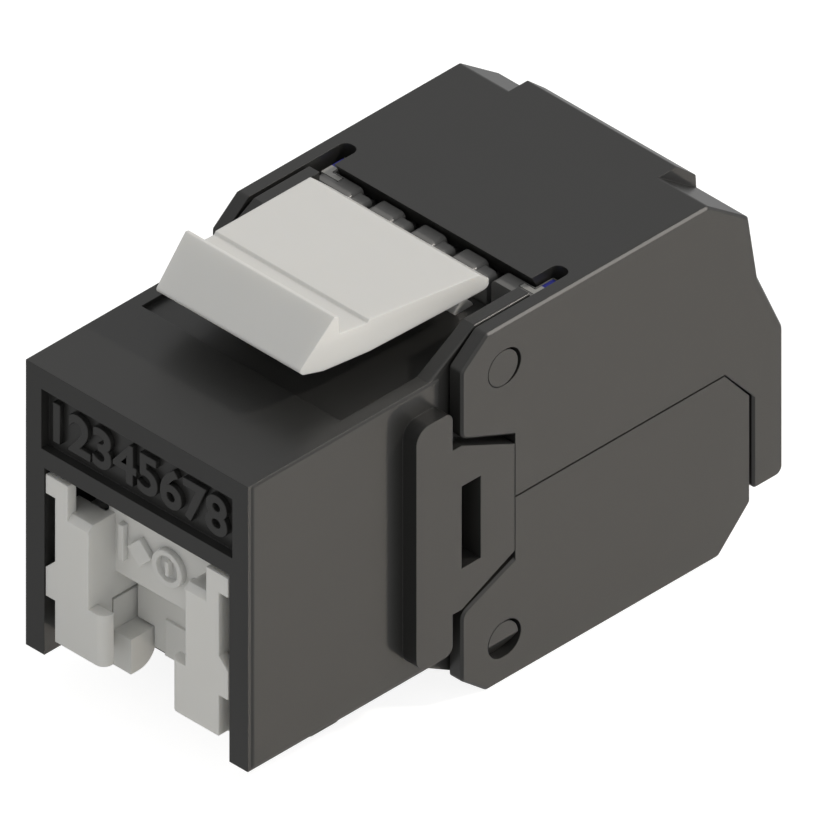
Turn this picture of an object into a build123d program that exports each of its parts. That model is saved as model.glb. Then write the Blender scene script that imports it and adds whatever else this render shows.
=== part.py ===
from build123d import *
import os
from math import hypot, radians, tan

# Keystone jack, closed, with its cap in the port.
# The model is drawn with x across, y from the port face rearwards and z up from the underside of the jaws.
# The finished pieces are shifted so that the origin is under the middle of the jack.

# Clearances
seat_gap = 0.05          # between pieces that are fixed to each other
running_gap = 0.15       # between pieces that slide or swing past each other
pin_play = 0.04          # radial play of the hinge pins and of the latch root
pin_slack = 0.17         # how much longer the jaws' holes are towards the rear
reach = 1.0              # how far a cutter runs past the face that it opens

# Front housing, which fills the standard keystone cut-out
body_width = 14.5
body_height = 16.0
jaw_height = 20.0
shoulder_start = 11.7
shoulder_slope = 30.0
sleeve_end = 18.3
sleeve_step = 0.05
sleeve_wall = 0.75
sleeve_round = 0.15
corner_round = 0.2
front_round = 0.4
socket_wall = 1.25
socket_height = 10.5
socket_depth = 12.6
socket_floor = 0.75
floor_front = 4.0
roof_wall = 1.75
name_margin = 1.05
name_height = 3.35
name_drop = 1.15
name_depth = 0.5
recess_start = 6.75
recess_depth = 0.3
catch_width = 10.0
catch_start = 6.3
catch_length = 1.7

# Side pads with the wedges that lie between the jaws
pad_start = 10.0
pad_length = 2.35
pad_height = 13.6
pad_round = 0.8
pad_rear_round = 0.5
wedge_end = 16.37
wedge_front_height = 9.2
wedge_rear_height = 6.0
window_start = 12.93
window_length = 1.24
window_height = 4.62

# Jaw hinges
pin_radius = 0.95
pin_y = 15.62
pin_inset = 2.38
pin_bevel = 0.6

# Jaws
jaw_wall = 0.79
jaw_plate = 1.2
jaw_bevel = 0.12
ear_front = 12.95
ear_bevel_y = 1.65
ear_bevel_z = 1.33
ear_reach = 5.1
jaw_front = 16.42
jaw_front_height = 3.45
plate_lead = 0.8
notch_width = 0.95
notch_length = 1.7
lower_bevel = 2.1
joint_run = 1.7
joint_drop = 2.05
joint_step = 0.6
slope_length = 4.82
slope_inset = 2.2
slope_drop = 1.9
waist_inset = 1.6
waist_drop = 5.6
tail_thickness = 1.95
tail_rise = 0.85
tail_foot = 2.65
hollow_lead = 0.48
hollow_drop = 2.8
crown_width = 9.7
crown_lead = 0.58
crown_length = 1.22
crown_fall = 1.2
crown_draft = 0.1
crown_drop = 1.05
crown_foot_drop = 2.6
crown_round = 0.2
cable_radius = 4.0
rib_width = 0.8
rib_depth = 2.5
rib_start = 0.9
rib_clear = 0.9

# Top latch
latch_lift = 1.5
lip_height = 4.4
lip_front = 5.85
lip_crest = 8.0
lip_back = 8.26
nose_rise = 2.25
nose_foot = 7.3
groove_rise = 3.33
groove_fall = 0.2
groove_end = 9.97
paddle_front = 10.1
paddle_break = 16.75
paddle_rise = 2.72
latch_end = 17.8
tip_rise = 1.78
paddle_round = 0.8
lip_width = 9.7
paddle_width = 9.96
latch_width = 11.0
bead_radius = 0.7
bead_y = 17.35
bead_drop = 0.65
web_thickness = 0.6
root_width = 7.6

# Socket insert with the two latch stops
keyway_width = 6.3
stop_gap = 4.06
stop_start = 1.65
stop_length = 1.6
stop_height = 2.0
stop_round = 1.1
ledge_start = 1.65
ledge_height = 3.7
insert_floor = 0.45

# Cap in the socket
rail_inset = 0.7
rail_depth = 1.55
rail_height = 7.45
rail_bevel = 0.3
cap_drop = 0.3
neck_width = 0.8
neck_depth = 0.57
tab_height = 1.05
low_tab_height = 1.75
low_tab_drop = 4.75
lip_gap = 4.28
lip_depth = 0.65
lip_round = 0.5
lip_rise = 2.85
panel_face = 1.75
panel_thickness = 0.85
panel_height = 4.9
panel_side = 0.4
tongue_width = 3.8
tongue_face = 3.05
tongue_thickness = 0.8
key_width = 2.16
key_height = 2.0
key_proud = 0.15
leg_thickness = 0.85
leg_end = 9.0
leg_height = 3.4

# Spring contacts and their carrier
contact_count = 8
contact_pitch = 1.02
wire = 0.4
wire_bend = 0.5
contact_front = 5.0
contact_tip_y = 10.0
contact_tip_drop = 3.2
contact_leg_y = 14.4
carrier_front = 3.4
carrier_plate = 0.9
carrier_wall = 0.8
carrier_lap = 0.8
clip_height = 3.9

# Circuit board and wire blocks
board_thickness = 1.2
board_margin = 0.25
board_inset = 0.7
block_margin = 0.35
block_step = 0.1
block_clear = 1.3
block_top_gap = 0.2
neck_clear = 1.2
slot_width = 1.1
slot_depth = 3.8
slot_pitch = 2.7
tooth_round = 0.3
comb_length = 0.95
comb_drop = 0.55
web_length = 0.7
web_width = 0.8
web_drop = 0.1
end_strip = 0.5
end_strip_length = 2.1
blade_width = 1.9
blade_thickness = 0.4
blade_slit = 0.3
blade_drop = 1.4
blade_height = 5.2
blade_pin = 0.6
blade_start = 3.4
blade_stagger = 1.8
blade_rear = 3.6
divider_wall = 0.8
divider_height = 9.0
divider_width = 8.0
divider_clear = 0.6
label_inset = 0.55
label_width = 1.1
label_depth = 0.25

# Places along the jack that follow from the sizes above, from the front rearwards
carrier_tail = contact_leg_y + carrier_lap
neck_start = contact_leg_y + neck_clear
block_start = sleeve_end + block_step
plate_front = block_start + plate_lead
upper_blade_y = block_start + blade_start
lower_blade_y = upper_blade_y + blade_stagger
block_end = lower_blade_y + blade_rear
board_end = block_end - board_inset
comb_end = block_start + comb_length
web_end = block_start + web_length
end_strip_end = block_start + end_strip_length
label_start = block_start + label_inset
hollow_slope = block_end + block_clear
slope_start = hollow_slope + hollow_lead
upper_length = slope_start + slope_length
jaw_back = upper_length - tail_thickness - running_gap
joint_start = jaw_back - joint_run
divider_end = joint_start - divider_clear
crown_start = slope_start - crown_lead
crown_bend = slope_start + crown_length
crown_end = crown_bend + crown_fall

# Heights and widths that follow from the sizes above
mid_z = jaw_height / 2
tail_top = mid_z + tail_rise
hollow_shoulder = jaw_height - hollow_drop
slope_end = (upper_length - slope_inset, jaw_height - slope_drop)
waist = (upper_length - waist_inset, jaw_height - waist_drop)
crown_back = (crown_end, jaw_height - crown_drop)
crown_foot = (crown_end + crown_draft, jaw_height - crown_foot_drop)
body_bottom = mid_z - body_height / 2 + 0.25
body_top = body_bottom + body_height
recess_z = body_top - recess_depth
roof_z = recess_z - roof_wall
body_side = body_width / 2
sleeve_side = body_side - sleeve_step
sleeve_inside = sleeve_side - sleeve_wall
jaw_inside = sleeve_side + running_gap
jack_side = jaw_inside + jaw_wall
socket_width = body_width - 2 * socket_wall
name_width = body_width - 2 * name_margin
rail_outer = socket_width - 2 * rail_inset
board_width = 2 * (sleeve_inside - board_margin)
block_width = 2 * (jaw_inside - block_margin)
upper_pin_z = jaw_height - pin_inset
socket_bottom = body_bottom + socket_floor
socket_top = body_bottom + socket_height
ledge_top = body_bottom + ledge_height
board_bottom = mid_z - board_thickness / 2
board_top = mid_z + board_thickness / 2
plate_reach = hypot(plate_front - pin_y, pin_inset)
block_top = jaw_height - jaw_plate - block_top_gap
comb_top = jaw_height - comb_drop
slot_floor = block_top - slot_depth
bead_z = body_top - bead_drop
cap_top = socket_top - cap_drop
wire_z = socket_top + wire / 2 + seat_gap
contact_columns = [(i - (contact_count - 1) / 2) * contact_pitch for i in range(contact_count)]
slot_columns = [(i - 1.5) * slot_pitch for i in range(4)]


def box(x, y, z):
    """Box between the two ends that are given for each axis."""
    middle = Pos((x[0] + x[1]) / 2, (y[0] + y[1]) / 2, (z[0] + z[1]) / 2)
    return middle * Box(x[1] - x[0], y[1] - y[0], z[1] - z[0])


def outline_face(points, radii):
    """Flat face inside a closed outline, with a rounding radius for each point."""
    return make_face(FilletPolyline(*points, radius=radii or [0] * len(points), close=True))


def side_solid(points, x, radii=None):
    """Solid with an outline of (y, z) points seen from the side, between two x planes."""
    face = Plane.YZ.offset(x[0]) * outline_face(points, radii)
    return extrude(face, amount=x[1] - x[0], dir=(1, 0, 0))


def front_solid(points, y, radii=None):
    """Solid with an outline of (x, z) points seen from the front, between two y planes."""
    face = Plane.XZ.offset(-y[0]) * outline_face(points, radii)
    return extrude(face, amount=y[1] - y[0], dir=(0, 1, 0))


def plan_solid(points, z, radii=None):
    """Solid with an outline of (x, y) points seen from above, between two z planes."""
    face = Plane.XY.offset(z[0]) * outline_face(points, radii)
    return extrude(face, amount=z[1] - z[0], dir=(0, 0, 1))


def cross_rod(radius, y, z, x):
    """Round rod along x."""
    rod = Rot(0, 90, 0) * Cylinder(radius, x[1] - x[0])
    return Pos((x[0] + x[1]) / 2, y, z) * rod


def both_sides(shape):
    """The shape and its mirror image on the other side of the jack."""
    return shape + mirror(shape, about=Plane.YZ)


def upside_down(shape):
    """The shape turned over about the level plane between the jaws."""
    return mirror(shape, about=Plane.XY.offset(mid_z))


def shoulder_outline():
    """Side view of the sleeve: level front, ramps up and down, then the full height of the jaws."""
    rise = jaw_height - body_top
    run = rise / tan(radians(shoulder_slope))
    fall = body_bottom / tan(radians(shoulder_slope))
    top = [(0, body_top), (shoulder_start, body_top)]
    top += [(shoulder_start + run, jaw_height), (sleeve_end, jaw_height)]
    bottom = [(sleeve_end, 0), (shoulder_start + fall, 0), (shoulder_start, body_bottom), (0, body_bottom)]
    return top + bottom


def housing_shell():
    """Front block and sleeve as one moulding, still without its socket."""
    shell = side_solid(shoulder_outline(), (-sleeve_side, sleeve_side))
    for end in (0, -1):
        edges = shell.edges().group_by(Axis.X)[end]
        ridge = [edge for edge in edges if edge.center().Z > body_top + seat_gap]
        shell = fillet(ridge, sleeve_round)
    front = box((-body_side, body_side), (0, pad_start + pad_length), (body_bottom, body_top))
    upright = front.edges().filter_by(Axis.Z).group_by(Axis.Y)[0]
    front = fillet(upright, front_round)
    for end in (0, -1):
        rim = front.edges().group_by(Axis.Z)[end].sort_by(Axis.Y)[:-1]
        front = fillet(rim, corner_round)
    shell += front
    inside = (-sleeve_inside, sleeve_inside)
    shell -= box(inside, (recess_start, sleeve_end + reach), (recess_z, jaw_height + reach))
    shell -= box(inside, (0, sleeve_end + reach), (-reach, body_bottom))
    return shell


def side_pad():
    """Raised pad on the right side, with the wedge behind it and the window through it."""
    pad_z = (mid_z - pad_height / 2, mid_z + pad_height / 2)
    pad_end = pad_start + pad_length
    corners = [(pad_start, pad_z[0]), (pad_start, pad_z[1]), (pad_end, pad_z[1]), (pad_end, pad_z[0])]
    radii = [pad_round, pad_round, pad_rear_round, pad_rear_round]
    pad = side_solid(corners, (sleeve_inside, jack_side), radii)
    front_half = wedge_front_height / 2
    rear_half = wedge_rear_height / 2
    start = pad_end - pad_rear_round
    front = [(start, mid_z - front_half), (start, mid_z + front_half)]
    rear = [(window_start, mid_z + front_half), (wedge_end, mid_z + rear_half)]
    lower_rear = [(wedge_end, mid_z - rear_half), (window_start, mid_z - front_half)]
    return pad + side_solid(front + rear + lower_rear, (sleeve_inside, jack_side))


def hinge_pin():
    """Upper right hinge pin with a flat end."""
    return cross_rod(pin_radius, pin_y, upper_pin_z, (sleeve_inside, jack_side))


def slanted_pin():
    """Upper right hinge pin, with the slant that lets the ear snap over it."""
    pin = hinge_pin()
    tip = jack_side + reach
    top = upper_pin_z + pin_radius + reach
    slope = (pin_radius + reach) * pin_bevel
    slant = [(jack_side, upper_pin_z), (tip, upper_pin_z), (tip, top), (jack_side - slope, top)]
    return pin - front_solid(slant, (pin_y - pin_radius - reach, pin_y + pin_radius + reach))


def socket_cutter():
    """Everything that is taken out of the housing from the front."""
    side = socket_width / 2
    cutter = box((-side, side), (-reach, socket_depth + seat_gap), (socket_bottom, socket_top))
    cutter += box((-side, side), (-reach, floor_front), (body_bottom - reach, socket_bottom))
    carrier_z = (socket_top, socket_top + carrier_plate + seat_gap * 2)
    cutter += box((-side, side), (carrier_front - seat_gap, socket_depth + seat_gap), carrier_z)
    return cutter


def name_cutter():
    """Shallow recess above the port."""
    top = body_top - name_drop
    return box((-name_width / 2, name_width / 2), (-reach, name_depth), (top - name_height, top))


def bottom_catch():
    """Fixed catch under the housing that hooks behind the panel."""
    front = (catch_start - body_bottom, body_bottom)
    rear = catch_start + catch_length
    points = [front, (catch_start, 0), (rear, 0), (rear, body_bottom)]
    return side_solid(points, (-catch_width / 2, catch_width / 2))


def front_housing():
    """Black moulding with the port, the pads, the hinge pins and the sleeve for the wire blocks."""
    housing = housing_shell() + bottom_catch() + both_sides(side_pad())
    housing += both_sides(hinge_pin()) + both_sides(upside_down(slanted_pin()))
    housing -= socket_cutter()
    housing -= name_cutter()
    inside_z = (mid_z * 2 - roof_z, roof_z)
    housing -= box((-sleeve_inside, sleeve_inside), (socket_depth, sleeve_end + reach), inside_z)
    window_z = (mid_z - window_height / 2, mid_z + window_height / 2)
    window_y = (window_start, window_start + window_length)
    window = box((sleeve_inside - reach, jack_side + reach), window_y, window_z)
    housing -= both_sides(window)
    groove = root_width / 2 + running_gap
    housing -= cross_rod(bead_radius + pin_play, bead_y, bead_z, (-groove, groove))
    return housing


def latch():
    """White top latch: lip, panel groove and finger paddle over a root that snaps into the roof."""
    top = body_top + lip_height
    groove = body_top + groove_rise
    under = body_top + latch_lift
    nose = body_top + nose_rise
    lip = [(nose_foot, under + 0.18), (lip_front + 0.25, nose - 0.25), (lip_front, nose)]
    lip += [(lip_crest, top), (lip_back, top - 0.1)]
    middle = [(lip_back, groove), (groove_end, groove - groove_fall), (paddle_front, groove - 0.05)]
    rear = [(paddle_break, body_top + paddle_rise), (latch_end, body_top + tip_rise), (paddle_front, under)]
    radii = [0.3, 0.1, 0.2, 0.08, 0.08, 0.1, 0.1, 0.06, 0.25, 0.05, 0]
    body = side_solid(lip + middle + rear, (-latch_width / 2, latch_width / 2), radii)
    nose_side = lip_width / 2 - 0.2
    lip_side = lip_width / 2
    paddle_side = paddle_width / 2
    rear_side = latch_width / 2
    right = [(nose_side, lip_front), (lip_side, lip_back), (paddle_side, paddle_front)]
    right += [(rear_side, paddle_break), (rear_side, latch_end)]
    left = [(-x, y) for x, y in reversed(right)]
    corners = [0, 0, 0, 0, paddle_round]
    body = body & plan_solid(right + left, (body_top, top + reach), corners + corners[::-1])
    side = root_width / 2
    web_y = (bead_y - web_thickness / 2, bead_y + web_thickness / 2)
    web = box((-side, side), web_y, (bead_z, under + 0.4))
    bead = cross_rod(bead_radius, bead_y, bead_z, (-side, side))
    return body + web + bead


def port_insert():
    """White lining of the socket: floor, two ledges beside the keyway and the two latch stops."""
    side = socket_width / 2 - seat_gap
    key = keyway_width / 2
    floor_z = (socket_bottom + seat_gap, socket_bottom + seat_gap + insert_floor)
    rear = socket_depth - 0.3
    insert = box((-side, side), (floor_front + seat_gap, rear), floor_z)
    ledge = box((key, side), (ledge_start, rear), (body_bottom + seat_gap, ledge_top))
    ledge -= box((0, side + reach), (floor_front, rear + reach), (0, socket_bottom + seat_gap))
    foot = body_bottom + seat_gap
    head = body_bottom + stop_height
    stop_end = stop_start + stop_length
    hook = [(stop_start, foot), (stop_start, head), (stop_end, head), (stop_end, foot)]
    stop = side_solid(hook, (stop_gap / 2, key), [0, 0, 0, stop_round])
    return insert + both_sides(ledge + stop)


def cap_rail():
    """Right half of the cap's frame: rail, neck, two tabs and the lip at the foot."""
    outer = rail_outer / 2
    inner = keyway_width / 2
    tab_side = socket_width / 2 - 0.1
    rail_top = cap_top - tab_height - 0.6
    foot = rail_top - rail_height
    profile = [(0, foot), (0, rail_top - rail_bevel), (rail_bevel, rail_top)]
    profile += [(rail_depth, rail_top), (rail_depth, foot)]
    rail = side_solid(profile, (inner, outer))
    rail += box((outer - neck_width, outer), (0, neck_depth), (rail_top - rail_bevel, cap_top))
    rail += box((outer - neck_width, tab_side), (0, neck_depth), (cap_top - tab_height, cap_top))
    low_top = rail_top - low_tab_drop + 1.35
    low_tab = [(outer - 0.5, low_top + 0.95), (outer, low_top + 0.45), (tab_side, low_top - 0.15)]
    low_tab += [(tab_side, low_top - low_tab_height), (outer - 0.5, low_top - low_tab_height)]
    rail += front_solid(low_tab, (0, neck_depth))
    lip_top = foot + lip_rise
    plan = [(lip_gap / 2, 0), (outer, 0), (outer, lip_depth), (lip_gap / 2, lip_depth)]
    return rail + plan_solid(plan, (foot, lip_top), [lip_round, 0, 0, 0])


def dust_cap():
    """White cap that closes the socket and slides out forwards."""
    cap = both_sides(cap_rail())
    side = rail_outer / 2
    inner = keyway_width / 2
    wide = inner + panel_side
    panel_bottom = cap_top - panel_height
    panel_back = panel_face + panel_thickness
    rest = ledge_top + running_gap
    cap += box((-wide, wide), (panel_face, panel_back), (panel_bottom, cap_top))
    cap += both_sides(box((inner, side), (rail_depth - 0.4, panel_back), (rest, rest + leg_height)))
    cap += both_sides(box((inner, wide), (rail_depth - 0.4, panel_back), (rest, cap_top - tab_height - 0.6)))
    tongue_side = tongue_width / 2
    tongue_y = (tongue_face, tongue_face + tongue_thickness)
    tongue_z = (socket_bottom + 0.25, panel_bottom + panel_thickness)
    cap += box((-tongue_side, tongue_side), tongue_y, tongue_z)
    wall_z = (body_bottom + stop_height + running_gap, tongue_z[1])
    cap += box((running_gap - inner, inner - running_gap), tongue_y, wall_z)
    cap += box((-wide, wide), (panel_face, tongue_y[1]), (panel_bottom, tongue_z[1]))
    cap += both_sides(box((inner, wide), (panel_face, tongue_y[1]), (rest, tongue_z[1])))
    key_z = (tongue_z[0], tongue_z[0] + key_height)
    cap += box((-key_width / 2, key_width / 2), (tongue_face - key_proud, tongue_face + 0.2), key_z)
    leg_outer = socket_width / 2 - running_gap
    leg = box((leg_outer - leg_thickness, leg_outer), (panel_face, leg_end), (rest, rest + leg_height))
    return cap + both_sides(leg)


def plug_contact(x):
    """One spring wire: leg through the board, run under the carrier and the sloping spring in the socket."""
    tip = (contact_tip_y, socket_top - contact_tip_drop + 0.25)
    leg = [(contact_leg_y, board_bottom), (contact_leg_y, wire_z)]
    path = FilletPolyline(*leg, (contact_front, wire_z), tip, radius=[wire_bend, wire_bend])
    face = Plane.YZ.offset(x - wire / 2) * trace(path, wire)
    return extrude(face, amount=wire, dir=(1, 0, 0))


def contact_carrier():
    """Comb over and behind the socket that holds the spring wires apart, clipped into the side windows."""
    side = socket_width / 2 - seat_gap
    plate_z = (socket_top + seat_gap, socket_top + seat_gap + carrier_plate)
    carrier = box((-side, side), (carrier_front, carrier_tail), plate_z)
    wall_y = (socket_depth + seat_gap * 2, socket_depth + seat_gap * 2 + carrier_wall)
    wall_side = sleeve_inside - seat_gap
    carrier += box((-wall_side, wall_side), wall_y, (mid_z * 2 - roof_z + seat_gap, plate_z[1]))
    clip_z = (mid_z - clip_height / 2, mid_z + clip_height / 2)
    carrier += box((-sleeve_side, sleeve_side), (window_start + seat_gap, wall_y[1]), clip_z)
    half = wire / 2 + seat_gap
    for x in contact_columns:
        carrier -= box((x - half, x + half), (0, contact_leg_y + half), (plate_z[0] - reach, wire_z + half))
    return carrier


def circuit_board():
    """Flat board between the wire blocks, pierced by the contact legs and the blade pins."""
    start = socket_depth + carrier_wall + seat_gap * 3
    board = box((-board_width / 2, board_width / 2), (start, board_end), (board_bottom, board_top))
    half = wire / 2 + seat_gap
    through = (board_bottom - reach, board_top + reach)
    for x in contact_columns:
        board -= box((x - half, x + half), (contact_leg_y - half, contact_leg_y + half), through)
    pin_x = blade_pin / 2 + seat_gap
    pin_y_half = blade_thickness / 2 + seat_gap
    for y in (upper_blade_y, lower_blade_y):
        for x in slot_columns:
            board -= box((x - pin_x, x + pin_x), (y - pin_y_half, y + pin_y_half), through)
    return board


def blade_outline(x, gap):
    """Front view of one wire blade, wide above a narrow pin, grown by a gap all round."""
    foot = blade_top() - blade_height - gap
    pin = blade_pin / 2 + gap
    wide = blade_width / 2 + gap
    top = blade_top() + gap
    right = [(x + pin, board_bottom), (x + pin, foot), (x + wide, foot), (x + wide, top)]
    left = [(x - wide, top), (x - wide, foot), (x - pin, foot), (x - pin, board_bottom)]
    return right + left


def blade_top():
    """Height of the top of the upper wire blades."""
    return block_top - blade_drop


def idc_contact(x, y):
    """Slit blade that cuts into one wire of the upper block."""
    blade = front_solid(blade_outline(x, 0), (y - blade_thickness / 2, y + blade_thickness / 2))
    slit = blade_slit / 2
    mouth = slit * 4
    top = blade_top()
    slit_points = [(x - slit, slot_floor), (x + slit, slot_floor), (x + slit, top - mouth), (x + mouth, top)]
    slit_points += [(x - mouth, top), (x - slit, top - mouth)]
    return blade - front_solid(slit_points, (y - blade_thickness, y + blade_thickness))


def comb_block():
    """Open wire slots between teeth that stand higher in front, with a rounded stop in each slot."""
    side = block_width / 2
    bottom = board_top + seat_gap
    block = box((-side, side), (block_start, block_end), (bottom, block_top))
    block += box((-side, side), (block_start, comb_end), (block_top - reach, comb_top))
    for x in slot_columns:
        slot_x = (x - slot_width / 2, x + slot_width / 2)
        block -= box(slot_x, (block_start - reach, block_end + reach), (slot_floor, comb_top + reach))
    for level in (block_top, comb_top):
        edges = [edge for edge in block.edges().filter_by(Axis.Y) if abs(edge.center().Z - level) < seat_gap]
        block = fillet(edges, tooth_round)
    for x in slot_columns:
        left = x - slot_width / 2 - seat_gap
        right = x - slot_width / 2 + web_width
        top = comb_top - web_drop
        stop = [(left, slot_floor - seat_gap), (left, top), (right, top), (right, slot_floor - seat_gap)]
        block += front_solid(stop, (block_start, web_end), [0, 0.1, tooth_round, 0])
    strip_y = (comb_end - seat_gap, end_strip_end)
    strip = box((side - end_strip, side), strip_y, (block_top - reach, comb_top))
    return block + both_sides(strip)


def idc_block(blade_y):
    """Upper wire block with its pockets for the blades and the chips, on a neck inside the sleeve."""
    block = comb_block()
    bottom = board_top + seat_gap
    neck_side = sleeve_inside - seat_gap
    block += box((-neck_side, neck_side), (neck_start, block_start), (bottom, roof_z - seat_gap))
    half = blade_thickness / 2 + seat_gap
    for x in slot_columns:
        block -= front_solid(blade_outline(x, seat_gap), (blade_y - half, blade_y + half))
    return block - both_sides(chip(seat_gap))


def chip(gap):
    """Right colour chip with an angled plan, grown by a gap all round for its pocket."""
    side = block_width / 2
    inner = side - label_width - gap
    strip = side - end_strip + seat_gap * 2 - gap
    outer = side + gap * reach / seat_gap
    front = label_start - gap
    step = comb_end - seat_gap * 2 + gap
    back = end_strip_end - seat_gap * 2 + gap
    plan = [(inner, front), (outer, front), (outer, back), (strip, back), (strip, step), (inner, step)]
    return plan_solid(plan, (comb_top - label_depth - gap, comb_top + gap))


def wire_divider():
    """Cross behind the board that keeps the four wire pairs apart."""
    y = (block_end + seat_gap, divider_end)
    half = divider_wall / 2
    upright = box((-half, half), y, (mid_z - divider_height / 2, mid_z + divider_height / 2))
    level = box((-divider_width / 2, divider_width / 2), y, (mid_z - half, mid_z + half))
    return upright + level


def jaw_outline(rear):
    """Side view of a jaw from the ear along the top, down the given rear and back along the parting line."""
    parting = mid_z + seat_gap
    ear_top = jaw_height - ear_bevel_z
    ear = [(ear_front, jaw_height - ear_reach), (ear_front, ear_top), (ear_front + ear_bevel_y, jaw_height)]
    front = [(joint_start, parting), (jaw_front, parting), (jaw_front, mid_z + jaw_front_height)]
    return ear + rear + front


def upper_rear():
    """Rear of the upper jaw: slopes down to a tail that laps behind the lower jaw."""
    inner = jaw_back + running_gap
    slope = [(slope_start, jaw_height), slope_end, waist, (upper_length, tail_top)]
    tail = [(upper_length, tail_foot), (inner, tail_foot), (inner, mid_z - joint_drop)]
    return slope + tail


def lower_rear():
    """Rear of the lower jaw, drawn upside down: bevelled corner and straight back."""
    bevel = [(jaw_back - lower_bevel, jaw_height), (jaw_back, jaw_height - lower_bevel)]
    return bevel + [(jaw_back, mid_z + joint_drop)]


def jaw(rear, radii, crown):
    """One jaw as the upper one: side walls with ears, top plate, rear wall and ribs."""
    shell = side_solid(jaw_outline(rear), (-jack_side, jack_side), radii)
    for end in (0, -1):
        ridge = shell.edges().group_by(Axis.X)[end].group_by(Axis.Z)[-1]
        shell = chamfer(ridge, jaw_bevel)
    if crown:
        shell += crown
    ceiling = jaw_height - jaw_plate
    back = joint_start + joint_step
    hollow = [(ear_front - reach, -reach), (ear_front - reach, ceiling), (hollow_slope, ceiling)]
    hollow += [(back, hollow_shoulder), (back, mid_z + joint_step)]
    hollow += [(joint_start, mid_z), (joint_start, -reach)]
    shell -= side_solid(hollow, (-jaw_inside, jaw_inside))
    shell -= plate_cutter()
    shell -= cross_rod(plate_reach, pin_y, upper_pin_z, (-jaw_inside, jaw_inside))
    ear = (jaw_inside - reach, jack_side + reach)
    for slack in (0, pin_slack):
        shell -= both_sides(cross_rod(pin_radius + pin_play, pin_y + slack, upper_pin_z, ear))
    return shell - cable_cutter()


def plate_cutter():
    """Plan of what is open in front of the top plate, with the two round-ended notches."""
    notch_end = plate_front + notch_length
    inner = jaw_inside - notch_width
    front = ear_front - reach
    right = [(jaw_inside, front), (jaw_inside, notch_end), (inner, notch_end), (inner, plate_front)]
    left = [(-x, y) for x, y in reversed(right)]
    round_end = notch_width * 0.45
    radii = [0, round_end, round_end, 0, 0, round_end, round_end, 0]
    return plan_solid(right + left, (mid_z, jaw_height + reach), radii)


def cable_cutter():
    """Round cable way at the rear, open downwards."""
    y = (joint_start - reach, upper_length + reach)
    bore = Pos(0, (y[0] + y[1]) / 2, mid_z) * (Rot(90, 0, 0) * Cylinder(cable_radius, y[1] - y[0]))
    return bore + box((-cable_radius, cable_radius), y, (-reach, mid_z))


def pressing_ribs(blade_y):
    """Four ribs under the top plate that push the wires into the slots, open where the blades stand."""
    ceiling = jaw_height - jaw_plate
    ends = ((plate_front + rib_start, blade_y - rib_clear), (blade_y + rib_clear, block_end - rib_start / 2))
    ribs = []
    for x in slot_columns:
        for y in ends:
            ribs.append(box((x - rib_width / 2, x + rib_width / 2), y, (ceiling - rib_depth, ceiling + 0.2)))
    return ribs


def crown():
    """Raised middle of the upper jaw over the cable way."""
    side = crown_width / 2
    foot = jaw_height - jaw_plate - running_gap
    front = [(crown_start, foot), (crown_start, jaw_height)]
    rear = [(crown_bend, jaw_height), crown_back, crown_foot, (crown_bend, crown_foot[1])]
    return side_solid(front + rear, (-side, side), [0, 0, crown_round, crown_round, 0, 0])


def upper_jaw():
    """Upper half of the clamshell, with the tail that laps over the lower half."""
    ear = [0.6, 0.3, 0.3]
    rear = [0.3, 0.4, 0.5, 0.8, 0.5, 0.3, 0]
    body = jaw(upper_rear(), ear + rear + [0, 0, 0], crown())
    for rib in pressing_ribs(upper_blade_y):
        body += rib
    return body


def lower_jaw():
    """Lower half of the clamshell."""
    body = jaw(lower_rear(), [0.6, 0.3, 0.3] + [0.4, 0.4, 0] + [0, 0, 0], None)
    for rib in pressing_ribs(lower_blade_y):
        body += rib
    return upside_down(body)


def all_pieces():
    """Every piece of the jack by its node name."""
    pieces = {
        "front_housing": front_housing(),
        "latch": latch(),
        "port_insert": port_insert(),
        "dust_cap": dust_cap(),
        "contact_carrier": contact_carrier(),
        "circuit_board": circuit_board(),
        "idc_block_upper": idc_block(upper_blade_y),
        "idc_block_lower": upside_down(idc_block(lower_blade_y)),
        "wire_divider": wire_divider(),
        "colour_label_right": chip(0),
        "colour_label_left": mirror(chip(0), about=Plane.YZ),
        "upper_jaw": upper_jaw(),
        "lower_jaw": lower_jaw(),
    }
    for number, x in enumerate(contact_columns, start=1):
        pieces[f"plug_contact_{number}"] = plug_contact(x)
    for number, x in enumerate(slot_columns, start=1):
        pieces[f"idc_contact_{number}"] = idc_contact(x, upper_blade_y)
        pieces[f"idc_contact_{number + 4}"] = upside_down(idc_contact(x, lower_blade_y))
    return pieces


os.makedirs("parts", exist_ok=True)
centre = Pos(0, -upper_length / 2, 0)
for name, piece in all_pieces().items():
    export_step(centre * piece, f"parts/{name}.step")
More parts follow.
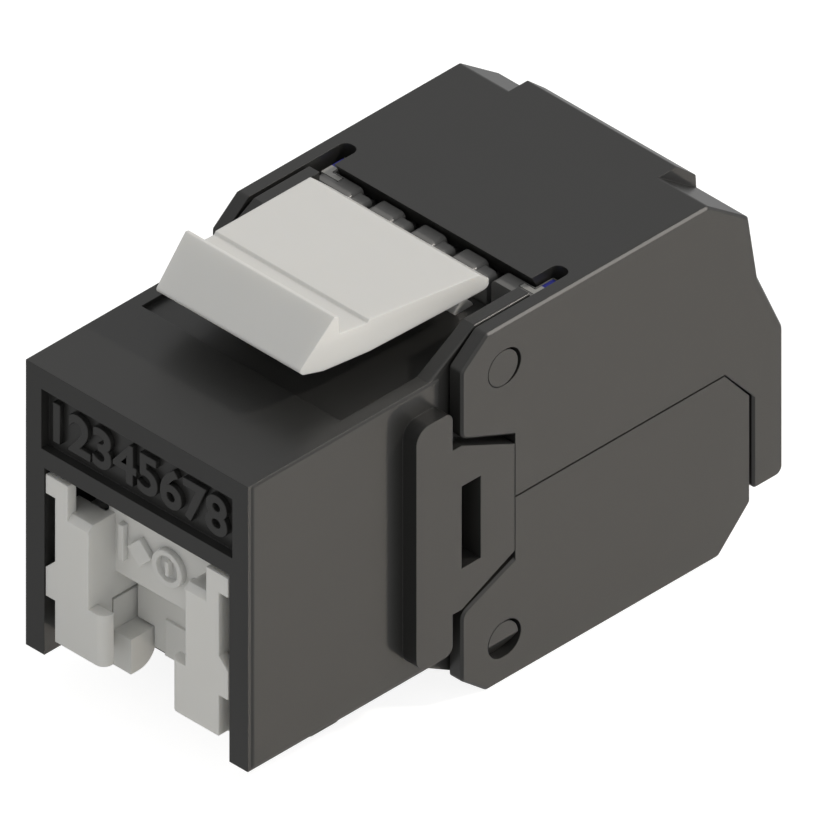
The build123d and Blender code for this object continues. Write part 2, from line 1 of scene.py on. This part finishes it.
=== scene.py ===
import bpy
import math
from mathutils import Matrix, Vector


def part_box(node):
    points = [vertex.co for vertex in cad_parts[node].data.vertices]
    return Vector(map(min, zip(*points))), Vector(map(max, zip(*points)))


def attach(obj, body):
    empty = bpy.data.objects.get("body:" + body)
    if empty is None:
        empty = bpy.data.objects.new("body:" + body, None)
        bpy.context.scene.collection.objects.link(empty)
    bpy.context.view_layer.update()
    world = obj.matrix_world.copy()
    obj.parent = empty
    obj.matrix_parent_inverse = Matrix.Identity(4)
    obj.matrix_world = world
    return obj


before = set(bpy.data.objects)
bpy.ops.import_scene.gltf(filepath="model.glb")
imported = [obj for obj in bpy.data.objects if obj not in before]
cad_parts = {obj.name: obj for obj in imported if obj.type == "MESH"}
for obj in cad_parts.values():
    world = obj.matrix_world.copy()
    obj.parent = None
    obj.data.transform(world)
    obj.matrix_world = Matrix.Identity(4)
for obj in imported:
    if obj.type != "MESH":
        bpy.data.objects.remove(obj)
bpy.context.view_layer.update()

# Black mouldings: the front housing with its hinge pins, and the two jaws that close over the wires.
# They are injection moulded in black polycarbonate in finely blasted moulds, which leaves a satin face.
# Every edge comes out of the mould slightly round. The grain is drawn coarser than it is, so that it shows.

millimetre = 0.001


def srgb(code):
    """Linear colour of an sRGB hex code."""
    parts = [int(code[i:i + 2], 16) / 255 for i in (1, 3, 5)]
    linear = [c / 12.92 if c <= 0.04045 else ((c + 0.055) / 1.055) ** 2.4 for c in parts]
    return (*linear, 1)


def add_node(material, kind, settings, links):
    """One shader node with its values and the sockets that feed it."""
    node = material.node_tree.nodes.new(kind)
    for name, value in settings.items():
        if isinstance(name, int) or name in node.inputs:
            node.inputs[name].default_value = value
        else:
            setattr(node, name, value)
    for name, source in links.items():
        material.node_tree.links.new(source, node.inputs[name])
    return node


def empty_material(name):
    """New node material with nothing in it yet."""
    material = bpy.data.materials.new(name)
    material.use_nodes = True
    material.node_tree.nodes.clear()
    return material


def moulded_plastic(name, colour, shade, roughness, grain_mm, grain_height_mm, edge_mm, glow):
    """Moulded plastic: faint mottle in colour and gloss, fine grain, round edges, some light through it."""
    mottle = 2.5 * millimetre
    gloss_change = 0.01
    light_depth = 0.8 * millimetre
    material = empty_material(name)
    place = add_node(material, "ShaderNodeTexCoord", {}, {}).outputs["Object"]
    cloud = add_node(
        material, "ShaderNodeTexNoise", {"Scale": 1 / mottle, "Detail": 4.0}, {"Vector": place}
    )
    tint = add_node(
        material, "ShaderNodeMix",
        {"data_type": "RGBA", 6: srgb(colour), 7: srgb(shade)},
        {0: cloud.outputs["Fac"]},
    )
    gloss = add_node(
        material, "ShaderNodeMapRange",
        {"To Min": roughness - gloss_change, "To Max": roughness + gloss_change},
        {"Value": cloud.outputs["Fac"]},
    )
    grain = add_node(
        material, "ShaderNodeTexNoise",
        {"Scale": 1 / (grain_mm * millimetre), "Detail": 2.0},
        {"Vector": place},
    )
    edge = add_node(material, "ShaderNodeBevel", {"samples": 6, "Radius": edge_mm * millimetre}, {})
    bump = add_node(
        material, "ShaderNodeBump",
        {"Strength": 1.0, "Distance": grain_height_mm * millimetre},
        {"Height": grain.outputs["Fac"], "Normal": edge.outputs["Normal"]},
    )
    surface = add_node(
        material, "ShaderNodeBsdfPrincipled",
        {
            "IOR": 1.5, "Coat Weight": 0.1, "Coat Roughness": 0.15,
            "Subsurface Weight": glow, "Subsurface Scale": light_depth, "Subsurface Radius": (1, 0.95, 0.85),
        },
        {
            "Base Color": tint.outputs[2], "Roughness": gloss.outputs["Result"],
            "Normal": bump.outputs["Normal"],
        },
    )
    add_node(material, "ShaderNodeOutputMaterial", {}, {"Surface": surface.outputs["BSDF"]})
    return material


def finish_nodes(material, *names):
    """Gives CAD nodes their material."""
    for name in names:
        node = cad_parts[name]
        node.data.materials.clear()
        node.data.materials.append(material)


black_polycarbonate = moulded_plastic(
    "black_polycarbonate", "#2a2a29", "#282827",
    roughness=0.4, grain_mm=0.09, grain_height_mm=0.0004, edge_mm=0.05, glow=0,
)
finish_nodes(black_polycarbonate, "front_housing", "upper_jaw", "lower_jaw")

# White mouldings: the top latch, the cap in the socket, and the socket's lining with its latch stops.
# They are the same resin in off-white, from smoother moulds, and let a little light through.

white_polycarbonate = moulded_plastic(
    "white_polycarbonate", "#dfdfdc", "#dcdcd9",
    roughness=0.36, grain_mm=0.12, grain_height_mm=0.0006, edge_mm=0.07, glow=0.35,
)
finish_nodes(white_polycarbonate, "latch", "dust_cap", "port_insert")

# Wire blocks, contact carrier and wire divider: moulded in dark grey glass-filled plastic.
# The glass makes it duller and rougher than the black shells. The wire slots of the blocks are open.

grey_filled_plastic = moulded_plastic(
    "grey_filled_plastic", "#767675", "#6e6e6d",
    roughness=0.42, grain_mm=0.06, grain_height_mm=0.0015, edge_mm=0.05, glow=0,
)
finish_nodes(grey_filled_plastic, "contact_carrier", "idc_block_upper", "idc_block_lower", "wire_divider")

# Colour chips on the upper wire block, which say where the wires of each pair go.
# They are stamped from plastic sheet and printed, half blue and half white.


def chip_print():
    """Matt printed plastic, blue behind, and in front white that is painted light grey as shade of the gap.
    """
    white_share = 0.48
    material = empty_material("chip_print")
    place = add_node(material, "ShaderNodeTexCoord", {}, {}).outputs["Object"]
    low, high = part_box("colour_label_right")
    parts = add_node(material, "ShaderNodeSeparateXYZ", {}, {"Vector": place})
    split = low.y + white_share * (high.y - low.y)
    white = add_node(
        material, "ShaderNodeMath", {"operation": "LESS_THAN", 1: split}, {0: parts.outputs["Y"]}
    )
    # The white half is light grey: painted shade for the shadowed gap in which the chips sit.
    colour = add_node(
        material, "ShaderNodeMix",
        {"data_type": "RGBA", 6: srgb("#2b2f8e"), 7: srgb("#a9a9a6")},
        {0: white.outputs[0]},
    )
    surface = add_node(
        material, "ShaderNodeBsdfPrincipled", {"Roughness": 0.5}, {"Base Color": colour.outputs[2]}
    )
    add_node(material, "ShaderNodeOutputMaterial", {}, {"Surface": surface.outputs["BSDF"]})
    return material


finish_nodes(chip_print(), "colour_label_right", "colour_label_left")

# Spring contacts in the socket: phosphor bronze wire plated with gold over nickel.
# The plating is bright, with faint drawing lines along the wire.


def plated_metal(name, colour, shade, roughness, streak_mm):
    """Plated metal with a fine streak from drawing or stamping, eight times as long as it is wide."""
    gloss_change = 0.06
    material = empty_material(name)
    place = add_node(material, "ShaderNodeTexCoord", {}, {}).outputs["Object"]
    stretch = add_node(material, "ShaderNodeMapping", {"Scale": (8.0, 1.0, 1.0)}, {"Vector": place})
    streak = add_node(
        material, "ShaderNodeTexNoise",
        {"Scale": 1 / (streak_mm * millimetre), "Detail": 3.0},
        {"Vector": stretch.outputs["Vector"]},
    )
    tint = add_node(
        material, "ShaderNodeMix",
        {"data_type": "RGBA", 6: srgb(colour), 7: srgb(shade)},
        {0: streak.outputs["Fac"]},
    )
    gloss = add_node(
        material, "ShaderNodeMapRange",
        {"To Min": roughness - gloss_change, "To Max": roughness + gloss_change},
        {"Value": streak.outputs["Fac"]},
    )
    surface = add_node(
        material, "ShaderNodeBsdfPrincipled", {"Metallic": 1.0},
        {"Base Color": tint.outputs[2], "Roughness": gloss.outputs["Result"]},
    )
    add_node(material, "ShaderNodeOutputMaterial", {}, {"Surface": surface.outputs["BSDF"]})
    return material


gold_plate = plated_metal("gold_plate", "#e6c477", "#d8b25e", roughness=0.22, streak_mm=1.2)
finish_nodes(gold_plate, *[f"plug_contact_{number}" for number in range(1, 9)])

# Wire contacts in the slots: slit blades stamped from bronze strip and plated with matt tin.
# They are pressed into the wire blocks, and their slits cut through the insulation of the wires.

tin_plate = plated_metal("tin_plate", "#cfcdc8", "#b9b7b2", roughness=0.34, streak_mm=0.8)
finish_nodes(tin_plate, *[f"idc_contact_{number}" for number in range(1, 9)])

# Circuit board between the wire blocks: glass epoxy under green solder mask.
# Copper tracks show through the mask as slightly lighter bands, at the pitch of the contacts.


def solder_mask():
    """Green mask, lighter over the tracks that run along the board."""
    track_pitch = 1.02 * millimetre
    band_period = 0.314
    track_rise = 0.03 * millimetre
    material = empty_material("solder_mask")
    place = add_node(material, "ShaderNodeTexCoord", {}, {}).outputs["Object"]
    tracks = add_node(
        material, "ShaderNodeTexWave",
        {
            "wave_type": "BANDS", "bands_direction": "X",
            "Scale": band_period / track_pitch, "Distortion": 1.5,
        },
        {"Vector": place},
    )
    sharp = add_node(
        material, "ShaderNodeMapRange",
        {"From Min": 0.45, "From Max": 0.55},
        {"Value": tracks.outputs["Fac"]},
    )
    tint = add_node(
        material, "ShaderNodeMix",
        {"data_type": "RGBA", 6: srgb("#12512c"), 7: srgb("#1f6b3c")},
        {0: sharp.outputs["Result"]},
    )
    bump = add_node(
        material, "ShaderNodeBump", {"Distance": track_rise}, {"Height": sharp.outputs["Result"]}
    )
    surface = add_node(
        material, "ShaderNodeBsdfPrincipled", {"Roughness": 0.25},
        {"Base Color": tint.outputs[2], "Normal": bump.outputs["Normal"]},
    )
    add_node(material, "ShaderNodeOutputMaterial", {}, {"Surface": surface.outputs["BSDF"]})
    return material


finish_nodes(solder_mask(), "circuit_board")

# Raised figures in the recess above the port, one for each contact, moulded with the black housing.
# They stand a third of a millimetre proud of the recess floor and stay below the front face.

figure_height = 2.3 * millimetre
figure_row_length = 11.3 * millimetre
figure_relief = 0.3 * millimetre
figure_sink = 0.03 * millimetre
figure_edge = 0.03 * millimetre
stroke_gain = 0.03 * millimetre
recess_depth = 0.5 * millimetre
ramp_rise = 1.75 * millimetre
recess_drop = 2.82 * millimetre

housing_low, housing_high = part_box("front_housing")
recess_floor = housing_low.y + recess_depth
recess_middle = housing_high.z - ramp_rise - recess_drop

bpy.ops.object.select_all(action="DESELECT")
bpy.ops.object.text_add(location=(0, 0, 0))
figures = bpy.context.object
figures.name = "housing_figures"
figures.data.body = "12345678"
figures.data.align_x = "CENTER"
figures.data.align_y = "CENTER"
figures.data.size = figure_height
figures.data.offset = stroke_gain
figures.data.extrude = figure_relief / 2
figures.data.bevel_depth = figure_edge
figures.data.resolution_u = 6
bpy.ops.object.convert(target="MESH")
housing_figures = bpy.context.object
figures_low = [min(v.co[i] for v in housing_figures.data.vertices) for i in range(2)]
figures_high = [max(v.co[i] for v in housing_figures.data.vertices) for i in range(2)]
bpy.ops.object.origin_set(type="ORIGIN_GEOMETRY", center="BOUNDS")
housing_figures.scale = (
    figure_row_length / (figures_high[0] - figures_low[0]),
    figure_height / (figures_high[1] - figures_low[1]),
    1,
)
housing_figures.rotation_euler = (math.radians(90), 0, 0)
housing_figures.location = (0, recess_floor - figure_relief / 2 + figure_sink, recess_middle)
bpy.ops.object.transform_apply(location=True, rotation=True, scale=True)
housing_figures.data.materials.append(black_polycarbonate)
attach(housing_figures, "jack")

# Raised marks on the middle panel of the cap, moulded with it: a short rib, a diamond, a date wheel with its
# pointer, and a small arrow. Their front edges are rounded, as the mould leaves them.

panel_depth = 1.75 * millimetre
mark_relief = 0.35 * millimetre
mark_sink = 0.02 * millimetre
mark_drop = 2.85 * millimetre
round_corners = 48
ring_sink_share = 0.9

cap_low, cap_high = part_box("dust_cap")
mark_y = cap_low.y + panel_depth - mark_relief / 2 + mark_sink
mark_z = cap_high.z - mark_drop


def front_faces():
    """Selects, in edit mode, the faces of the new mark that look forwards."""
    bpy.ops.object.mode_set(mode="OBJECT")
    for face in bpy.context.object.data.polygons:
        face.select = face.normal.y < -0.9
    bpy.ops.object.mode_set(mode="EDIT")
    bpy.ops.mesh.select_mode(type="FACE")


def cap_mark(name, edge_mm):
    """Rounds the front edges of the new mark and gives it its name, material and body."""
    front_faces()
    bpy.ops.mesh.bevel(offset=edge_mm * millimetre, segments=2, affect="EDGES")
    bpy.ops.object.mode_set(mode="OBJECT")
    mark = bpy.context.object
    mark.name = name
    mark.data.materials.append(white_polycarbonate)
    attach(mark, "cap")


def upright_block(across_mm, width_mm, height_mm):
    """Block on the panel, still with sharp edges."""
    bpy.ops.object.select_all(action="DESELECT")
    bpy.ops.mesh.primitive_cube_add(
        size=1, location=(across_mm * millimetre, mark_y, mark_z),
        scale=(width_mm * millimetre, mark_relief, height_mm * millimetre),
    )
    bpy.ops.object.transform_apply(location=True, rotation=True, scale=True)


def forward_disc(across_mm, drop_mm, radius_mm, corners):
    """Flat disc on the panel, or one with few corners, still with sharp edges."""
    bpy.ops.object.select_all(action="DESELECT")
    bpy.ops.mesh.primitive_cylinder_add(
        vertices=corners, radius=radius_mm * millimetre, depth=mark_relief,
        location=(across_mm * millimetre, mark_y, mark_z - drop_mm * millimetre),
        rotation=(math.radians(90), 0, 0),
    )
    bpy.ops.object.transform_apply(location=True, rotation=True, scale=True)


def sunk_middle(wall_mm):
    """Sinks the middle of the new disc nearly to the panel, so that a ring is left."""
    front_faces()
    bpy.ops.mesh.inset(thickness=wall_mm * millimetre, depth=0)
    bpy.ops.mesh.extrude_region_move(
        TRANSFORM_OT_translate={"value": (0, mark_relief * ring_sink_share, 0)}
    )
    bpy.ops.object.mode_set(mode="OBJECT")


upright_block(across_mm=-2.5, width_mm=0.36, height_mm=2.0)
cap_mark("cap_rib", edge_mm=0.04)

forward_disc(across_mm=-1.3, drop_mm=0, radius_mm=0.78, corners=4)
cap_mark("cap_diamond", edge_mm=0.04)

forward_disc(across_mm=0.5, drop_mm=0, radius_mm=0.98, corners=round_corners)
sunk_middle(wall_mm=0.3)
cap_mark("cap_date_ring", edge_mm=0.04)

upright_block(across_mm=0.5, width_mm=0.22, height_mm=0.8)
cap_mark("cap_date_pointer", edge_mm=0.03)

forward_disc(across_mm=2.0, drop_mm=0.4, radius_mm=0.55, corners=3)
cap_mark("cap_arrow", edge_mm=0.04)

# Floor: plain pale paper that takes the object's shadow and looks white to the camera.
# In reflections it glows with painted light, dimmer towards the front left, away from the side lamp.
# It casts no shadow, so that the low lamp reaches the object from below.

paper_size = 1.2
paper_gap = 0.02 * millimetre
dimming_reach = 20 * millimetre
dim_mirrored = 0.42
bright_mirrored = 0.68
seen_strength = 1.42
seen_share = 0.62

bpy.ops.object.select_all(action="DESELECT")
bpy.ops.mesh.primitive_plane_add(size=paper_size, location=(0, 0, -paper_gap))
floor = bpy.context.object
floor.name = "floor"
floor.visible_shadow = False
pale = empty_material("pale_floor")
place = add_node(pale, "ShaderNodeTexCoord", {}, {}).outputs["Object"]
across = add_node(
    pale, "ShaderNodeVectorMath", {"operation": "DOT_PRODUCT", 1: (0.707, 0.707, 0)}, {0: place}
)
side = add_node(
    pale, "ShaderNodeMapRange",
    {
        "From Min": -dimming_reach, "From Max": dimming_reach,
        "To Min": dim_mirrored, "To Max": bright_mirrored,
    },
    {"Value": across.outputs["Value"]},
)
paper = add_node(pale, "ShaderNodeBsdfDiffuse", {"Color": srgb("#fafaf8")}, {})
seen_glow = add_node(
    pale, "ShaderNodeEmission", {"Color": (1, 1, 1, 1), "Strength": seen_strength}, {}
)
# Painted light: in reflections the floor glows, from dim at the front left to bright at the back right.
mirrored_glow = add_node(
    pale, "ShaderNodeEmission", {"Color": (1, 1, 1, 1)}, {"Strength": side.outputs["Result"]}
)
rays = add_node(pale, "ShaderNodeLightPath", {}, {})
share = add_node(
    pale, "ShaderNodeMath", {"operation": "MULTIPLY", 1: seen_share}, {0: rays.outputs["Is Camera Ray"]}
)
plain = add_node(
    pale, "ShaderNodeMixShader", {},
    {0: share.outputs[0], 1: paper.outputs[0], 2: seen_glow.outputs[0]},
)
mixed = add_node(
    pale, "ShaderNodeMixShader", {},
    {0: rays.outputs["Is Glossy Ray"], 1: plain.outputs[0], 2: mirrored_glow.outputs[0]},
)
add_node(pale, "ShaderNodeOutputMaterial", {}, {"Surface": mixed.outputs[0]})
floor.data.materials.append(pale)

# Surroundings: soft white studio light from all sides, at about half strength on the object.
# The camera sees them as white, and reflections see them slightly brighter than the object is lit.

soft_level = 0.53
mirrored_level = 0.6
seen_level = 1.0

world = bpy.data.worlds.new("studio")
bpy.context.scene.world = world
world.use_nodes = True
world.node_tree.nodes.clear()
soft = add_node(world, "ShaderNodeBackground", {"Color": (1, 1, 1, 1), "Strength": soft_level}, {})
mirrored = add_node(world, "ShaderNodeBackground", {"Color": (1, 1, 1, 1), "Strength": mirrored_level}, {})
bright = add_node(world, "ShaderNodeBackground", {"Color": (1, 1, 1, 1), "Strength": seen_level}, {})
sky_rays = add_node(world, "ShaderNodeLightPath", {}, {})
lit = add_node(
    world, "ShaderNodeMixShader", {},
    {0: sky_rays.outputs["Is Glossy Ray"], 1: soft.outputs[0], 2: mirrored.outputs[0]},
)
sky = add_node(
    world, "ShaderNodeMixShader", {},
    {0: sky_rays.outputs["Is Camera Ray"], 1: lit.outputs[0], 2: bright.outputs[0]},
)
add_node(world, "ShaderNodeOutputWorld", {}, {"Surface": sky.outputs[0]})

# Lamps: a warm key lamp from behind the right side, which draws the bright lines on the upper edges, a broad
# side lamp from the right, and a faint one from below for the edges near the floor.


def sun(name, towards, strength, colour, spread):
    """Distant lamp that shines from the direction given, as wide as its spread in degrees."""
    bpy.ops.object.light_add(type="SUN", location=(0, 0, 0))
    lamp = bpy.context.object
    lamp.name = name
    lamp.rotation_euler = Vector(towards).to_track_quat("Z", "Y").to_euler()
    lamp.data.energy = strength
    lamp.data.color = srgb(colour)[:3]
    lamp.data.angle = math.radians(spread)


sun("key_lamp", towards=(0.515, 0.577, 0.634), strength=1.2, colour="#fff8f0", spread=4)
sun("side_lamp", towards=(1.0, 0.1, 0.15), strength=0.52, colour="#fffaf4", spread=60)
sun("low_lamp", towards=(0.89, 1.04, -1.14), strength=0.12, colour="#fff0dc", spread=3)

# Camera: no perspective, at the angle of an isometric view, over the right front corner.
# It aims at the point of the jack that lies in the middle of the picture.

view_azimuth = math.radians(45)
view_elevation = math.radians(35.264)
picture_width = 38.53 * millimetre
picture_middle = Vector((8.99, -7.52, 18.25)) * millimetre
camera_distance = 0.2

back = Vector((
    math.sin(view_azimuth) * math.cos(view_elevation),
    -math.cos(view_azimuth) * math.cos(view_elevation),
    math.sin(view_elevation),
))
bpy.ops.object.camera_add(location=picture_middle + back * camera_distance)
camera = bpy.context.object
camera.rotation_euler = back.to_track_quat("Z", "Y").to_euler()
camera.data.type = "ORTHO"
camera.data.ortho_scale = picture_width
camera.data.clip_start = 0.01
camera.data.clip_end = 2
bpy.context.scene.camera = camera
bpy.context.scene.view_settings.view_transform = "Standard"
